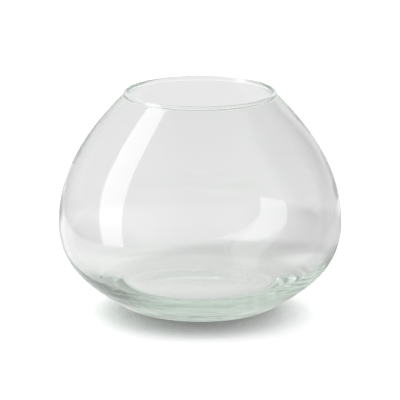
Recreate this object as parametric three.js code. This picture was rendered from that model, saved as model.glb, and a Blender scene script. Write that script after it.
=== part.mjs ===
// Clear glass ball vase: one blown vessel with a heavy base, a low round belly and a wide open mouth.
// Millimetres, +Z up. The vase stands on z = 0 and its axis of revolution is Z.
import * as THREE from 'three';

// Outside
const HEIGHT = 145.5;            // table to the top of the lip
const BELLY_DIAMETER = 190;      // at the widest point
const BELLY_HEIGHT = 56;         // table to the widest point
const MOUTH_DIAMETER = 96;       // clear opening inside the lip
const SHOULDER_SLOPE = 46;       // degrees above horizontal, where the wall reaches the lip
const SHOULDER_REACH = 31;       // how far below the lip that slope pulls the wall
const UPPER_BELLY_REACH = 37.5;  // how far above the widest point the wall is pulled upright
const LOWER_BELLY_REACH = 30;    // how far below the widest point the wall is pulled upright
const HEEL_SLOPE = 34;           // degrees above horizontal, where the wall leaves the foot
const HEEL_REACH = 21;           // how far above the foot that slope pulls the wall

// Foot
const FOOT_DIAMETER = 94;        // outer edge of the flat ring that the vase stands on
const FOOT_RING_WIDTH = 8;
const FOOT_ROUNDING = 15;        // radius between the flat ring and the heel
const KICK_DEPTH = 1.5;          // shallow hollow under the base

// Glass
const WALL = 2.2;                // at the widest point
const LIP_WALL = 1;              // where the shoulder meets the lip
const LIP_THICKNESS = 2.8;       // the fire-polished lip is a round bead
const LIP_GROOVE = 1;            // radius between the bead and the wall, outside and inside
const HEEL_WALL = 7.4;           // where the wall leaves the foot
const FLOOR_HEIGHT = 11.3;       // table to the floor inside
const FLOOR_ROUNDING = 2;        // softness of the corner between floor and wall

// Facets
const SEGMENTS = 64;             // around the axis
const WALL_STEPS = 12;           // along each half of the wall
const LIP_STEPS = 8;
const GROOVE_STEPS = 2;
const FOOT_STEPS = 3;
const KICK_STEPS = 4;

const GLASS_COLOUR = 0xe4eee8;

// Profile points hold the radius in x and the height in y.
const point = (radius, height) => new THREE.Vector2(radius, height);

function direction(degrees) {
  const angle = THREE.MathUtils.degToRad(degrees);
  return point(Math.cos(angle), Math.sin(angle));
}

// Points at even steps of t from 0 to 1, both ends included.
function sample(steps, pointAt) {
  return Array.from({ length: steps + 1 }, (_, i) => pointAt(i / steps));
}

function arc(centre, radius, fromDegrees, toDegrees, steps) {
  return sample(steps, (t) => {
    const angle = THREE.MathUtils.lerp(fromDegrees, toDegrees, t);
    return centre.clone().addScaledVector(direction(angle), radius);
  });
}

// A point of the outside curve moved square to it, into the glass.
function inset(curve, t, depth) {
  const tangent = curve.getTangent(t);
  const inward = point(-tangent.y, tangent.x);
  return curve.getPoint(t).addScaledVector(inward, depth);
}

// The larger of two heights, rounded over where they are alike.
function softMaximum(a, b, rounding) {
  return (a + b + Math.hypot(a - b, rounding)) / 2;
}

const belly = point(BELLY_DIAMETER / 2, BELLY_HEIGHT);

// Foot: a flat ring around a shallow kick, rounded over into the heel.
const footRadius = FOOT_DIAMETER / 2;
const kickRadius = footRadius - FOOT_RING_WIDTH;
const kick = sample(KICK_STEPS, (t) => point(kickRadius * t, KICK_DEPTH * (1 - t * t)));
const footRounding = arc(point(footRadius, FOOT_ROUNDING), FOOT_ROUNDING, -90, HEEL_SLOPE - 90, FOOT_STEPS);

// Lower wall: from the foot out to the widest point.
const heel = footRounding.at(-1);
const lowerWall = new THREE.CubicBezierCurve(
  heel,
  heel.clone().addScaledVector(direction(HEEL_SLOPE), HEEL_REACH),
  belly.clone().sub(point(0, LOWER_BELLY_REACH)),
  belly,
);

// Lip: a round bead on the end of the wall, with a groove on each side of it.
const lipRadius = LIP_THICKNESS / 2;
const lipCentre = point(MOUTH_DIAMETER / 2 + lipRadius, HEIGHT - lipRadius);
const shoulderHeading = direction(180 - SHOULDER_SLOPE);
const outwardDegrees = 90 - SHOULDER_SLOPE;
const inwardDegrees = outwardDegrees + 180;
const grooveAside = LIP_WALL / 2 + LIP_GROOVE;
const grooveBelow = Math.sqrt((lipRadius + LIP_GROOVE) ** 2 - grooveAside ** 2);
const grooveTurn = THREE.MathUtils.radToDeg(Math.atan2(grooveBelow, grooveAside));
const lipRoot = lipCentre.clone().addScaledVector(shoulderHeading, -grooveBelow);
const outerGrooveCentre = lipRoot.clone().addScaledVector(direction(outwardDegrees), grooveAside);
const innerGrooveCentre = lipRoot.clone().addScaledVector(direction(outwardDegrees), -grooveAside);
const bead = arc(lipCentre, lipRadius, outwardDegrees - grooveTurn, inwardDegrees + grooveTurn, LIP_STEPS);
const lip = [
  ...arc(outerGrooveCentre, LIP_GROOVE, inwardDegrees, inwardDegrees - grooveTurn, GROOVE_STEPS),
  ...bead.slice(1, -1),
  ...arc(innerGrooveCentre, LIP_GROOVE, outwardDegrees + grooveTurn, outwardDegrees, GROOVE_STEPS),
];

// Upper wall: from the widest point in to the lip.
const upperWall = new THREE.CubicBezierCurve(
  belly,
  belly.clone().add(point(0, UPPER_BELLY_REACH)),
  lip[0].clone().addScaledVector(shoulderHeading, -SHOULDER_REACH),
  lip[0],
);

// Inside: the wall is thinnest at the lip, thickens below the belly and closes as the floor.
const upperInside = sample(WALL_STEPS, (t) => {
  const thickness = WALL + (LIP_WALL - WALL) * (1 - t) ** 2;
  return inset(upperWall, 1 - t, thickness);
});
const lowerInside = sample(WALL_STEPS, (t) => {
  const thickness = WALL + (HEEL_WALL - WALL) * t ** 3;
  const wallPoint = inset(lowerWall, 1 - t, thickness);
  return point(wallPoint.x, softMaximum(wallPoint.y, FLOOR_HEIGHT, FLOOR_ROUNDING));
});

// The whole section, from the middle of the kick up the outside, over the lip and down to the floor.
const section = [
  ...kick,
  ...footRounding,
  ...lowerWall.getPoints(WALL_STEPS).slice(1),
  ...upperWall.getPoints(WALL_STEPS).slice(1, -1),
  ...lip,
  ...upperInside.slice(1),
  ...lowerInside.slice(1),
  point(0, FLOOR_HEIGHT),
];

const vesselGeometry = new THREE.LatheGeometry(section, SEGMENTS);
vesselGeometry.rotateX(Math.PI / 2);

const glass = new THREE.MeshStandardMaterial({
  color: GLASS_COLOUR,
  roughness: 0.03,
  metalness: 0,
  transparent: true,
  opacity: 0.35,
});

const vessel = new THREE.Mesh(vesselGeometry, glass);
vessel.name = 'glass_vessel';

const vase = new THREE.Group();
vase.add(vessel);

export default vase;
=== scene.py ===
"""Clear glass ball vase on a white table, lit by a tall softbox on the left.

Metres, +Z up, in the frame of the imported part: the vase stands on z = 0 and its axis is Z.
"""
import math

import bpy
import numpy as np
from mathutils import Matrix, Vector


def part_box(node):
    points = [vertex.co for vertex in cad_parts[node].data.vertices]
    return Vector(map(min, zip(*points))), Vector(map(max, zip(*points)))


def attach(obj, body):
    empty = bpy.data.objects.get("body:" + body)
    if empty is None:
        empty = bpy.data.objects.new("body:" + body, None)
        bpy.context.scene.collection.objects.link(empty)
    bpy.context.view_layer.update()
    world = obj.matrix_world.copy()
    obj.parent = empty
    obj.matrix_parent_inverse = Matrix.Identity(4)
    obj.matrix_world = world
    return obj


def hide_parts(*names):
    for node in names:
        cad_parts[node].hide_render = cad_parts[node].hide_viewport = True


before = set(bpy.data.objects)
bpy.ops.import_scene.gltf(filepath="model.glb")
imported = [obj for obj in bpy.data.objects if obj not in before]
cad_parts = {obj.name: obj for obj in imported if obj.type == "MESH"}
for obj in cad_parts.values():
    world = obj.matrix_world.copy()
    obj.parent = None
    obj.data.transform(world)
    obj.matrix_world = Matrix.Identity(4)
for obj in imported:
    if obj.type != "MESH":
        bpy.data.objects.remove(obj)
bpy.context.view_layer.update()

MM = 0.001

# Outside of the vessel. The height and the widest diameter come from the frame.
NODE_LOW, NODE_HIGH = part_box("glass_vessel")
HEIGHT = NODE_HIGH.z
BELLY_RADIUS = (NODE_HIGH.x - NODE_LOW.x) / 2
BELLY_HEIGHT = 56 * MM             # table to the widest point
MOUTH_RADIUS = 48 * MM             # clear opening inside the lip
SHOULDER_SLOPE = math.radians(46)  # above horizontal, where the wall reaches the lip
SHOULDER_REACH = 31 * MM           # how far below the lip that slope pulls the wall
UPPER_BELLY_REACH = 37.5 * MM      # how far above the widest point the wall is pulled upright
LOWER_BELLY_REACH = 30 * MM        # how far below the widest point the wall is pulled upright
HEEL_SLOPE = math.radians(34)      # above horizontal, where the wall leaves the foot
HEEL_REACH = 21 * MM               # how far above the foot that slope pulls the wall

# Foot
FOOT_RADIUS = 47 * MM              # outer edge of the flat ring that the vase stands on
FOOT_RING_WIDTH = 8 * MM
FOOT_ROUNDING = 15 * MM            # radius between the flat ring and the heel
KICK_DEPTH = 1.5 * MM              # shallow hollow under the base

# Glass
WALL = 2.2 * MM                    # at the widest point
LIP_WALL = 1.0 * MM                # where the shoulder meets the lip
LIP_RADIUS = 1.4 * MM              # the fire-polished lip is a round bead
LIP_GROOVE = 1.0 * MM              # radius between the bead and the wall, outside and inside
HEEL_WALL = 7.4 * MM               # where the wall leaves the foot
FLOOR_HEIGHT = 11.3 * MM           # table to the floor inside
FLOOR_ROUNDING = 5.0 * MM          # softness of the corner between floor and wall

# Marks of the blowing, as depths into the glass
WAVE_DEPTH = 0.05 * MM             # slow waves of the outside
WANDER_DEPTH = 0.2 * MM            # slow waves of the inside
WAVES = ((1, 11 * MM, 0), (2, -8 * MM, 2), (3, 14 * MM, 4))  # lobes around, length along the wall, phase
WAVE_FADE = FLOOR_HEIGHT           # height over which the waves fade toward the floor and toward the lip
RING_DEPTH = 0.25 * MM             # rings around the front of the heel
RING_PITCH = 8 * MM
RING_OVERTONE = 1.7                # the finer rings, to one of the coarser
RING_BOTTOM = 2.35 * MM            # height below which the rings fade toward the foot
RING_TOP = 22 * MM                 # height where the rings end
RIPPLE_DEPTH = 0.07 * MM           # round ripples in the floor
RIPPLE_PITCH = 5.5 * MM
RIPPLE_MIDDLE = (-9 * MM, 2 * MM)
SWIRL_DEPTH = 0.5 * MM             # one deeper groove around the same middle
SWIRL_RADIUS = 41 * MM
SWIRL_WIDTH = 1.3 * MM
FLOOR_FADE = 1.5 * MM              # rise above the floor where its marks end

# Look of the glass
CLEAR_TINT = (0.957, 0.961, 0.957, 1)
REFRACTION = 1.52
ABSORPTION_TINT = (0.74, 0.83, 0.76, 1)
ABSORPTION_DENSITY = 8.3           # per metre
WEAR_SCALE = 45                    # patches per metre
WEAR_EDGE = (0.45, 0.75)           # noise levels between which the wear sets in
WEAR_ROUGHNESS = 0.03
WAVE_SCALE = (28, 28, 44.8)        # fine waves per metre
BUMP_STRENGTH = 0.25
BUMP_HEIGHT = 0.4 * MM
CORD_RELIEF = 0.3                  # height of a cord, to that of a fine wave

# Green cords in the glass of the heel, strongest at the front; their extra strength on the left is painted
# shade, darkening that side of the heel
CORD_TINT = (0.54, 0.70, 0.59, 1)
CORD_SCALE = (9, 9, 230)           # cords per metre
CORD_EDGE = (0.4, 0.6)             # noise levels between which a cord deepens
CORD_LEAST = 0.3                   # strength between the cords
CORD_INNER_EDGE = (FOOT_RADIUS, FOOT_RADIUS * 1.1)             # radii
CORD_TOP_EDGE = (FLOOR_HEIGHT * 1.3, FLOOR_HEIGHT * 2.2)       # heights
CORD_FRONT_TO_BACK = (-FOOT_RADIUS * 0.6, FOOT_RADIUS * 0.6)
CORD_BACK_SHARE = 0.2
CORD_SHADE_LEFT_TO_RIGHT = (-FOOT_RADIUS * 0.8, FOOT_RADIUS * 0.6)
CORD_SHADE_RIGHT_SHARE = 0.4

# Mesh
SEGMENTS = 224                     # around the axis
HEEL_STEPS = 100                   # along the lower wall, outside
WALL_STEPS = 70                    # along each other half of a wall
LIP_STEPS = 28
GROOVE_STEPS = 8
FOOT_STEPS = 14
KICK_STEPS = 24
FLOOR_STEPS = 28

# Camera, fitted to the photograph's outline
CAMERA_PLACE = (0.0, -1.8, 0.5221)
CAMERA_PITCH = math.radians(14.08)
CAMERA_LENS = 248.6                # millimetres, for a sensor 36 mm wide

# Table
TABLE_LEFT = -0.305
TABLE_RIGHT = 0.27
TABLE_FRONT = -0.53
TABLE_BACK = 1.6
TABLE_DROP = 0.1 * MM              # gap below the foot, so that no faces coincide
TABLE_WHITE = 0.9
TABLE_GLOW = 0.3                   # added for the camera, so that the lit table is white

# Shadow on the table, from the share of a leaning sky that the vase leaves open
SHADOW_LEAN = math.radians(45)
SHADOW_SIDE = -0.03
SHADOW_REACH = 50 * MM
SHADOW_SAMPLES = 8
SHADOW_OPEN = (0.186, 0.47)        # open share where the shadow is deepest, and where it ends
SHADOW_CURVE = 0.62
SHADOW_LEVEL = 0.17                # at its deepest
SHADOW_RADIUS = (FOOT_RADIUS * 1.1, BELLY_RADIUS)  # where it sets in for what the glass shows

# Painted light and shade of the table in what the glass shows: lighter on the left, darker on the right,
# its own level far behind, the vase's shade and a pool of light from the glass; each with the places
# between which it changes
NEAR_LEVEL = 0.9
LEFT_LEVEL = 1.0
LEFT_EDGE = (-0.15, 0.0)
RIGHT_LEVEL = 0.76
RIGHT_EDGE = (0.02, 0.1)
FAR_LEVEL = 0.865
FAR_EDGE = (0.225, 0.27)
SHADE_MIDDLE = (0.055, 0.025)
BELLY_SHADE = 0.8
BELLY_SHADE_EDGE = (BELLY_RADIUS, BELLY_RADIUS * 1.32)
FOOT_SHADE = 0.95
FOOT_SHADE_EDGE = (FOOT_RADIUS * 0.9, FOOT_RADIUS * 1.8)
# a painted pool of light, as if thrown by the glass onto the table
GLEAM_MIDDLE = (0.08, 0.075)
GLEAM_LEVEL = 0.2
GLEAM_EDGE = (12.8 * MM, 32 * MM)

# Softbox, fitted to its two images in the glass
SOFTBOX_FOOT = (-0.587, -0.221, -0.135)
SOFTBOX_HEAD = (-0.262, 0.153, 0.903)
SOFTBOX_FACING = (0.367, 0.833, -0.415)
SOFTBOX_WIDTH = 0.357
SOFTBOX_HEIGHT = math.dist(SOFTBOX_FOOT, SOFTBOX_HEAD)
SOFTBOX_RADIANCE = 1.9             # a white surface has 1
CARD_LEVEL = 0.74
CARD_GAP = 1 * MM                  # between the softbox and the card before it

# Light that falls on the table
DOME_LEVEL = 0.78
DOME_LEAN = 0.3                    # added behind, taken away in front

# Zones of the studio in what the glass shows. An edge is the pair of cosines between which a zone changes.
ROOM_LEVEL = 0.72
GLOW_TOWARD = (-1, -0.2, 0.1)
GLOW_EDGE = (0.3, 0.95)
GLOW_LEVEL = 1.02
GLOOM_TOWARD = (0.8, 0.48, 0.42)
GLOOM_EDGE = (0.72, 0.93)
GLOOM_SHARE = 0.2
GROUND_TOWARD = (0.2, 1, 0)
GROUND_EDGE = (-0.2, 0.9)
GROUND_DARK = 0.05
GROUND_LIGHT = 0.52
FRONT_TOWARD = (0, -1, 0)
FRONT_EDGE = (0.2, 0.8)
FRONT_LEVEL = 0.8
HORIZON_EDGE = (-0.35, 0.1)
BACKDROP_TOWARD = (0, 1, 0.4)
BACKDROP_EDGE = (0.8, 0.92)
BACKDROP_RISE = (0.05, 0.7)
BACKDROP_LOW = 0.885
BACKDROP_HIGH = 1.5
CEILING_EDGE = (0.75, 0.95)
CEILING_SHARE = 0.7

BOUNCES = 96                       # enough for the mirror images inside the thick base


def direction(angle):
    """A unit step in the plane of the section."""
    return np.array((math.cos(angle), math.sin(angle)))


def bezier(controls, steps):
    """Points and unit tangents of a cubic Bezier at even steps, both ends included."""
    a, b, c, d = (np.array(p, float) for p in controls)
    t = np.linspace(0, 1, steps + 1)[:, None]
    points = a * (1 - t) ** 3 + 3 * b * t * (1 - t) ** 2 + 3 * c * t ** 2 * (1 - t) + d * t ** 3
    tangents = (b - a) * (1 - t) ** 2 + 2 * (c - b) * t * (1 - t) + (d - c) * t ** 2
    return points, tangents / np.linalg.norm(tangents, axis=1)[:, None]


def arc(centre, radius, start, end, steps):
    """Points of a circle in the plane of the section, both ends included."""
    angles = np.linspace(start, end, steps + 1)
    return centre + radius * np.column_stack((np.cos(angles), np.sin(angles)))


def inward(tangents):
    """The directions into the glass, square to a section that runs up the outside."""
    return np.column_stack((-tangents[:, 1], tangents[:, 0]))


def inset(points, tangents, depth):
    """Points of the outside moved square to it, into the glass."""
    return points + inward(tangents) * depth


def soft_maximum(a, b, rounding):
    """The larger of two heights, rounded over where they are alike."""
    return (a + b + np.hypot(a - b, rounding)) / 2


def fade(value, start, end):
    """0 at start and 1 at end, in a straight line between them."""
    return np.clip((value - start) / (end - start), 0, 1)


def vessel_section():
    """The vessel's section as (radius, height) rows, from the kick up the outside and down to the floor."""
    kick_t = np.linspace(0, 1, KICK_STEPS + 1)
    kick_radius = FOOT_RADIUS - FOOT_RING_WIDTH
    kick = np.column_stack((kick_radius * kick_t, KICK_DEPTH * (1 - kick_t ** 2)))

    foot_centre = np.array((FOOT_RADIUS, FOOT_ROUNDING))
    foot = arc(foot_centre, FOOT_ROUNDING, -math.pi / 2, HEEL_SLOPE - math.pi / 2, FOOT_STEPS)

    belly = np.array((BELLY_RADIUS, BELLY_HEIGHT))
    heel = foot[-1]
    heel_control = heel + HEEL_REACH * direction(HEEL_SLOPE)
    lower_controls = (heel, heel_control, belly - (0, LOWER_BELLY_REACH), belly)

    lip_centre = np.array((MOUTH_RADIUS + LIP_RADIUS, HEIGHT - LIP_RADIUS))
    across = math.pi / 2 - SHOULDER_SLOPE
    groove_aside = (LIP_WALL / 2 + LIP_GROOVE) * direction(across)
    groove_below = math.sqrt((LIP_RADIUS + LIP_GROOVE) ** 2 - (LIP_WALL / 2 + LIP_GROOVE) ** 2)
    groove_turn = math.asin(groove_below / (LIP_RADIUS + LIP_GROOVE))
    lip_root = lip_centre - groove_below * direction(math.pi - SHOULDER_SLOPE)
    outer_groove = arc(
        lip_root + groove_aside, LIP_GROOVE, across + math.pi, across + math.pi - groove_turn, GROOVE_STEPS)
    bead = arc(lip_centre, LIP_RADIUS, across - groove_turn, across + math.pi + groove_turn, LIP_STEPS)
    inner_groove = arc(lip_root - groove_aside, LIP_GROOVE, across + groove_turn, across, GROOVE_STEPS)
    lip = np.vstack((outer_groove, bead[1:-1], inner_groove))

    shoulder_control = lip[0] - SHOULDER_REACH * direction(math.pi - SHOULDER_SLOPE)
    upper_controls = (belly, belly + (0, UPPER_BELLY_REACH), shoulder_control, lip[0])

    outside = np.vstack((bezier(lower_controls, HEEL_STEPS)[0], bezier(upper_controls, WALL_STEPS)[0][1:]))

    rise = np.linspace(0, 1, WALL_STEPS + 1)[:, None]
    upper_inside = inset(*bezier(upper_controls, WALL_STEPS), WALL + (LIP_WALL - WALL) * rise ** 2)
    lower_inside = inset(*bezier(lower_controls, WALL_STEPS), WALL + (HEEL_WALL - WALL) * (1 - rise) ** 3)
    inside = np.vstack((lower_inside, upper_inside[1:]))[::-1]
    inside[:, 1] = soft_maximum(inside[:, 1], FLOOR_HEIGHT, FLOOR_ROUNDING)

    edge = inside[-1]
    floor_t = np.linspace(1, 0, FLOOR_STEPS + 1)[1:]
    floor = np.column_stack((edge[0] * floor_t, FLOOR_HEIGHT + (edge[1] - FLOOR_HEIGHT) * floor_t ** 4))

    return np.vstack((kick, foot, outside[1:-1], lip, inside[1:], floor))


def blown_depth(section, angles):
    """How deep the marks of the blowing lie in the glass, by row of the section and by angle."""
    radius, height = section[:, :1], section[:, 1:]
    along = np.cumsum(np.hypot(*np.diff(section, axis=0, prepend=section[:1]).T))[:, None]
    outside = along < along[np.argmax(height)]

    slow = sum(np.cos(lobes * angles + along / length + phase) for lobes, length, phase in WAVES)
    wall = fade(height, FLOOR_HEIGHT, FLOOR_HEIGHT + WAVE_FADE) * fade(height, HEIGHT, HEIGHT - WAVE_FADE)
    waves = np.where(outside, WAVE_DEPTH, WANDER_DEPTH) * wall * (len(WAVES) + slow) / (2 * len(WAVES))

    turn = 2 * math.pi * along / RING_PITCH
    coarse = np.cos(turn + np.cos(angles))
    fine = np.cos(RING_OVERTONE * turn + np.cos(2 * angles + 1))
    front = np.clip(-np.sin(angles), 0, 1) ** 4
    heel = fade(height, RING_TOP, 0) * fade(height, 0, RING_BOTTOM) * (outside & (radius > FOOT_RADIUS))
    rings = RING_DEPTH * heel * front * (2 + coarse + fine) / 4

    x, y = radius * np.cos(angles), radius * np.sin(angles)
    from_middle = np.hypot(x - RIPPLE_MIDDLE[0], y - RIPPLE_MIDDLE[1])
    ripple = RIPPLE_DEPTH * (1 + np.cos(2 * math.pi * from_middle / RIPPLE_PITCH)) / 2
    swirl = SWIRL_DEPTH * np.exp(-((from_middle - SWIRL_RADIUS) / SWIRL_WIDTH) ** 2)
    floor = np.where(outside, 0, fade(height, FLOOR_HEIGHT + FLOOR_FADE, FLOOR_HEIGHT))
    return waves + rings + floor * (ripple + swirl)


def revolve(name, section):
    """A closed smooth mesh from a section that starts and ends on the axis."""
    angles = np.linspace(0, 2 * math.pi, SEGMENTS, endpoint=False)
    tangents = np.gradient(section, axis=0)
    tangents /= np.linalg.norm(tangents, axis=1)[:, None]
    depth = blown_depth(section, angles)
    blown = section[:, None] + inward(tangents)[:, None] * depth[:, :, None]
    radius, height = blown[..., 0], blown[..., 1]
    points = np.stack((radius * np.cos(angles), radius * np.sin(angles), height), axis=2)
    ends = ((0, 0, height[0, 0]), (0, 0, height[-1, 0]))
    verts = np.vstack((points[1:-1].reshape(-1, 3), *ends))

    bottom, top = len(verts) - 2, len(verts) - 1
    this = np.arange(bottom).reshape(-1, SEGMENTS)
    after = np.roll(this, -1, axis=1)
    faces = [(bottom, b, a) for a, b in zip(this[0].tolist(), after[0].tolist())]
    faces += np.stack((this[:-1], after[:-1], after[1:], this[1:]), axis=2).reshape(-1, 4).tolist()
    faces += [(top, a, b) for a, b in zip(this[-1].tolist(), after[-1].tolist())]

    mesh = bpy.data.meshes.new(name)
    mesh.from_pydata(verts.tolist(), [], faces)
    mesh.validate()
    mesh.shade_smooth()
    piece = bpy.data.objects.new(name, mesh)
    bpy.context.scene.collection.objects.link(piece)
    return piece


class Graph:
    """Short ways to add and join nodes in one node tree."""

    def __init__(self, owner):
        owner.use_nodes = True
        self.nodes = owner.node_tree.nodes
        self.links = owner.node_tree.links

    def add(self, kind, **inputs):
        node = self.nodes.new("ShaderNode" + kind)
        for name, value in inputs.items():
            self.feed(node.inputs[name.replace("_", " ")], value)
        return node

    def feed(self, socket, value):
        if isinstance(value, bpy.types.NodeSocket):
            self.links.new(value, socket)
        else:
            socket.default_value = value

    def feed_all(self, sockets, values):
        for socket, value in zip(sockets, values):
            self.feed(socket, value)

    def math(self, operation, *values):
        node = self.add("Math")
        node.operation = operation
        self.feed_all(node.inputs, values)
        return node.outputs["Value"]

    def vector_math(self, operation, *values):
        node = self.add("VectorMath")
        node.operation = operation
        self.feed_all(node.inputs, values)
        return node.outputs

    def mix(self, factor, a, b):
        return self.add("Mix", Factor=factor, A=a, B=b).outputs["Result"]

    def mix_colours(self, factor, a, b):
        node = self.add("Mix")
        node.data_type = "RGBA"
        self.feed_all([socket for socket in node.inputs if socket.enabled], (factor, a, b))
        return next(socket for socket in node.outputs if socket.enabled)

    def mix_shaders(self, factor, a, b):
        node = self.add("MixShader")
        self.feed_all(node.inputs, (factor, a, b))
        return node.outputs["Shader"]

    def ramp(self, value, edge, low, high):
        """Low at the edge's first value and high at its second, eased between them."""
        start, end = edge
        node = self.add("MapRange", Value=value, From_Min=start, From_Max=end, To_Min=low, To_Max=high)
        node.interpolation_type = "SMOOTHSTEP"
        return node.outputs["Result"]


def glass_material():
    """Clear glass with greener cords around the heel, deepened on the left as painted shade, slight waves
    and a little wear.
    """
    material = bpy.data.materials.new("clear_glass")
    graph = Graph(material)
    place = graph.add("TexCoord").outputs["Object"]
    axes = graph.add("SeparateXYZ", Vector=place).outputs
    radius = graph.math("SQRT", graph.math(
        "MULTIPLY_ADD", axes["X"], axes["X"], graph.math("MULTIPLY", axes["Y"], axes["Y"])))

    def noise(scales, detail):
        scaled = graph.vector_math("MULTIPLY", place, scales)["Vector"]
        return graph.add("TexNoise", Vector=scaled, Scale=1.0, Detail=detail).outputs["Fac"]

    lower = graph.ramp(axes["Z"], CORD_TOP_EDGE, 1.0, 0.0)
    heel = graph.math("MULTIPLY", lower, graph.ramp(radius, CORD_INNER_EDGE, 0.0, 1.0))
    front = graph.ramp(axes["Y"], CORD_FRONT_TO_BACK, 1.0, CORD_BACK_SHARE)
    # painted shade: the cords grow stronger toward the left, so the heel is darker and greener there
    left = graph.ramp(axes["X"], CORD_SHADE_LEFT_TO_RIGHT, 1.0, CORD_SHADE_RIGHT_SHARE)
    lines = graph.ramp(noise(CORD_SCALE, detail=2), CORD_EDGE, CORD_LEAST, 1.0)
    side = graph.math("MULTIPLY", front, left)
    # the cords and the painted shade of the left side together, for the tint and relief below
    cords = graph.math("MULTIPLY", graph.math("MULTIPLY", lines, heel), side)
    tint = graph.mix_colours(cords, CLEAR_TINT, CORD_TINT)

    wear = noise((WEAR_SCALE, WEAR_SCALE, WEAR_SCALE), detail=4)
    waves = noise(WAVE_SCALE, detail=1)
    relief = graph.math("MULTIPLY_ADD", cords, CORD_RELIEF, waves)
    bump = graph.add("Bump", Height=relief, Strength=BUMP_STRENGTH, Distance=BUMP_HEIGHT)

    shader = graph.nodes["Principled BSDF"]
    graph.feed(shader.inputs["Base Color"], tint)
    graph.feed(shader.inputs["Roughness"], graph.ramp(wear, WEAR_EDGE, 0.0, WEAR_ROUGHNESS))
    graph.feed(shader.inputs["Normal"], bump.outputs["Normal"])
    shader.inputs["IOR"].default_value = REFRACTION
    shader.inputs["Transmission Weight"].default_value = 1.0
    absorption = graph.add("VolumeAbsorption", Color=ABSORPTION_TINT, Density=ABSORPTION_DENSITY)
    graph.feed(graph.nodes["Material Output"].inputs["Volume"], absorption.outputs["Volume"])
    return material


def table_material():
    """White to the camera with the vase's shadow painted in, and to the glass in zones of painted light and
    shade.
    """
    material = bpy.data.materials.new("white_table")
    graph = Graph(material)
    graph.nodes.clear()
    path = graph.add("LightPath").outputs
    place = graph.add("NewGeometry").outputs["Position"]
    axes = graph.add("SeparateXYZ", Vector=place).outputs

    def away(x, y):
        return graph.vector_math("DISTANCE", place, (x, y, -TABLE_DROP))["Value"]

    lean = graph.add("CombineXYZ", X=SHADOW_SIDE, Y=math.sin(SHADOW_LEAN), Z=math.cos(SHADOW_LEAN))
    occlusion = graph.add("AmbientOcclusion", Distance=SHADOW_REACH, Normal=lean.outputs["Vector"])
    occlusion.samples = SHADOW_SAMPLES
    deepest, end = SHADOW_OPEN
    open_sky = graph.add(
        "MapRange", Value=occlusion.outputs["AO"], From_Min=deepest, From_Max=end, To_Min=0, To_Max=1)
    eased = graph.math("POWER", open_sky.outputs["Result"], SHADOW_CURVE)
    shadow = graph.mix(eased, SHADOW_LEVEL, 1.0)

    # painted light and shade for the glass: the table lighter on the left, darker on the right and far
    # behind
    left = graph.ramp(axes["X"], LEFT_EDGE, LEFT_LEVEL, NEAR_LEVEL)
    right = graph.ramp(axes["X"], RIGHT_EDGE, 1.0, RIGHT_LEVEL)
    near = graph.math("MULTIPLY", left, right)
    level = graph.mix(graph.ramp(axes["Y"], FAR_EDGE, 0.0, 1.0), near, FAR_LEVEL)
    from_shade = away(*SHADE_MIDDLE)
    belly_shade = graph.ramp(from_shade, BELLY_SHADE_EDGE, BELLY_SHADE, 1.0)
    foot_shade = graph.ramp(from_shade, FOOT_SHADE_EDGE, FOOT_SHADE, 1.0)
    shaded = graph.math("MULTIPLY", level, graph.math("MULTIPLY", belly_shade, foot_shade))
    outer_shadow = graph.mix(graph.ramp(away(0, 0), SHADOW_RADIUS, 0.0, 1.0), 1.0, shadow)
    # painted pool of light that the glass throws on the table
    gleam = graph.ramp(away(*GLEAM_MIDDLE), GLEAM_EDGE, GLEAM_LEVEL, 0.0)
    strength = graph.math("ADD", graph.math("MULTIPLY", shaded, outer_shadow), gleam)
    # the table as the glass sees it glows with this painted light and shade
    for_glass = graph.add("Emission", Strength=strength).outputs["Emission"]

    to_camera = path["Is Camera Ray"]
    # painted shadow: to the camera the occlusion shadow darkens the table's colour and its glow
    white = graph.mix(to_camera, TABLE_WHITE, graph.math("MULTIPLY", shadow, TABLE_WHITE))
    paint = graph.add("CombineXYZ", X=white, Y=white, Z=white).outputs["Vector"]
    diffuse = graph.add("BsdfDiffuse", Color=paint).outputs["BSDF"]
    glow = graph.math("MULTIPLY", graph.math("MULTIPLY", to_camera, shadow), TABLE_GLOW)
    lit = graph.add("AddShader")
    graph.feed_all(lit.inputs, (diffuse, graph.add("Emission", Strength=glow).outputs["Emission"]))

    from_glass = graph.math("MAXIMUM", path["Is Transmission Ray"], path["Is Glossy Ray"])
    surface = graph.mix_shaders(from_glass, lit.outputs["Shader"], for_glass)
    graph.add("OutputMaterial", Surface=surface)
    return material


def card_material():
    """Grey to what looks straight through the glass, and nothing to all else."""
    material = bpy.data.materials.new("grey_card")
    graph = Graph(material)
    graph.nodes.clear()
    path = graph.add("LightPath").outputs
    turns = graph.math("ADD", path["Glossy Depth"], path["Diffuse Depth"])
    straight = graph.math("MULTIPLY", path["Is Transmission Ray"], graph.math("LESS_THAN", turns, 0.5))
    clear = graph.add("BsdfTransparent").outputs["BSDF"]
    grey = graph.add("Emission", Strength=CARD_LEVEL).outputs["Emission"]
    graph.add("OutputMaterial", Surface=graph.mix_shaders(straight, clear, grey))
    material.cycles.emission_sampling = "NONE"
    return material


def rectangle(name, left, right, front, back, height, material):
    """A level sheet with four corners."""
    mesh = bpy.data.meshes.new(name)
    corners = [(left, front, height), (right, front, height), (right, back, height), (left, back, height)]
    mesh.from_pydata(corners, [], [(0, 1, 2, 3)])
    mesh.materials.append(material)
    sheet = bpy.data.objects.new(name, mesh)
    bpy.context.scene.collection.objects.link(sheet)
    return sheet


def make_table():
    table = rectangle(
        "table", TABLE_LEFT, TABLE_RIGHT, TABLE_FRONT, TABLE_BACK, -TABLE_DROP, table_material())


def softbox_matrix():
    """Close on the left, its top leaning over the vase, its own -Z facing the vase."""
    foot, head = Vector(SOFTBOX_FOOT), Vector(SOFTBOX_HEAD)
    up = (head - foot).normalized()
    across = Vector(SOFTBOX_FACING).cross(up).normalized()
    turn = Matrix((across, up, across.cross(up))).transposed().to_4x4()
    return Matrix.Translation((foot + head) / 2) @ turn


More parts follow.
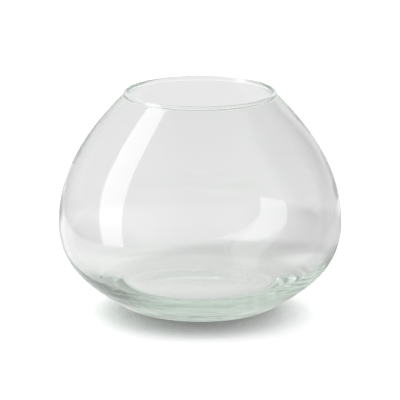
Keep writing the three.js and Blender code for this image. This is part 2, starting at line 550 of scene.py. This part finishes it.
def make_softbox():
    """The only lamp, seen in the glass and not by the camera."""
    data = bpy.data.lights.new("softbox", "AREA")
    data.shape = "RECTANGLE"
    data.size = SOFTBOX_WIDTH
    data.size_y = SOFTBOX_HEIGHT
    data.energy = SOFTBOX_RADIANCE * math.pi * SOFTBOX_WIDTH * SOFTBOX_HEIGHT
    lamp = bpy.data.objects.new("softbox", data)
    lamp.matrix_world = softbox_matrix()
    lamp.visible_camera = False
    bpy.context.scene.collection.objects.link(lamp)


def make_card():
    """A grey backdrop before the softbox, so that the glass isn't white on white when seen against it."""
    x, y = SOFTBOX_WIDTH / 2, SOFTBOX_HEIGHT / 2
    card = rectangle("card", -x, x, -y, y, -CARD_GAP, card_material())
    card.matrix_world = softbox_matrix()


def make_world():
    """Plain white to the camera, a dome of light to the table, and a studio in zones to the glass."""
    world = bpy.data.worlds.new("studio")
    bpy.context.scene.world = world
    graph = Graph(world)
    graph.nodes.clear()
    path = graph.add("LightPath").outputs
    ray = graph.add("TexCoord").outputs["Generated"]

    def toward(place):
        return graph.vector_math("DOT_PRODUCT", ray, Vector(place).normalized())["Value"]

    up = toward((0, 0, 1))
    glow = graph.ramp(toward(GLOW_TOWARD), GLOW_EDGE, ROOM_LEVEL, GLOW_LEVEL)
    gloom = graph.ramp(toward(GLOOM_TOWARD), GLOOM_EDGE, 1.0, GLOOM_SHARE)
    walls = graph.math("MULTIPLY", glow, gloom)

    passed = path["Is Transmission Ray"]
    front = graph.ramp(toward(FRONT_TOWARD), FRONT_EDGE, 0.0, FRONT_LEVEL)
    behind = graph.ramp(toward(GROUND_TOWARD), GROUND_EDGE, GROUND_DARK, GROUND_LIGHT)
    ground = graph.math("MAXIMUM", behind, graph.math("MULTIPLY", passed, front))
    room = graph.mix(graph.ramp(up, HORIZON_EDGE, 0.0, 1.0), ground, walls)

    backdrop = graph.ramp(up, BACKDROP_RISE, BACKDROP_LOW, BACKDROP_HIGH)
    sides = graph.mix(graph.ramp(toward(BACKDROP_TOWARD), BACKDROP_EDGE, 0.0, 1.0), room, backdrop)
    studio = graph.math("MULTIPLY", sides, graph.ramp(up, CEILING_EDGE, 1.0, CEILING_SHARE))
    dome = graph.math("MULTIPLY_ADD", toward((0, 1, 0)), DOME_LEAN, DOME_LEVEL)

    from_glass = graph.math("MAXIMUM", passed, path["Is Glossy Ray"])
    undiffused = graph.math("LESS_THAN", path["Diffuse Depth"], 0.5)
    level = graph.mix(graph.math("MULTIPLY", from_glass, undiffused), dome, studio)
    strength = graph.mix(path["Is Camera Ray"], level, 1.0)
    sky = graph.add("Background", Color=(1, 1, 1, 1), Strength=strength)
    graph.add("OutputWorld", Surface=sky.outputs["Background"])


def make_camera():
    data = bpy.data.cameras.new("camera")
    data.lens = CAMERA_LENS
    camera = bpy.data.objects.new("camera", data)
    camera.location = CAMERA_PLACE
    camera.rotation_euler = (math.pi / 2 - CAMERA_PITCH, 0, 0)
    bpy.context.scene.collection.objects.link(camera)
    bpy.context.scene.camera = camera


make_camera()
vessel = revolve("vase", vessel_section())
vessel.data.materials.append(glass_material())
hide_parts("glass_vessel")
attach(vessel, "root")

make_table()
make_world()
make_softbox()
make_card()

scene = bpy.context.scene
scene.view_settings.view_transform = "Standard"
scene.cycles.use_denoising = True
scene.cycles.blur_glossy = 0
scene.cycles.max_bounces = BOUNCES
scene.cycles.transmission_bounces = BOUNCES
scene.cycles.glossy_bounces = BOUNCES
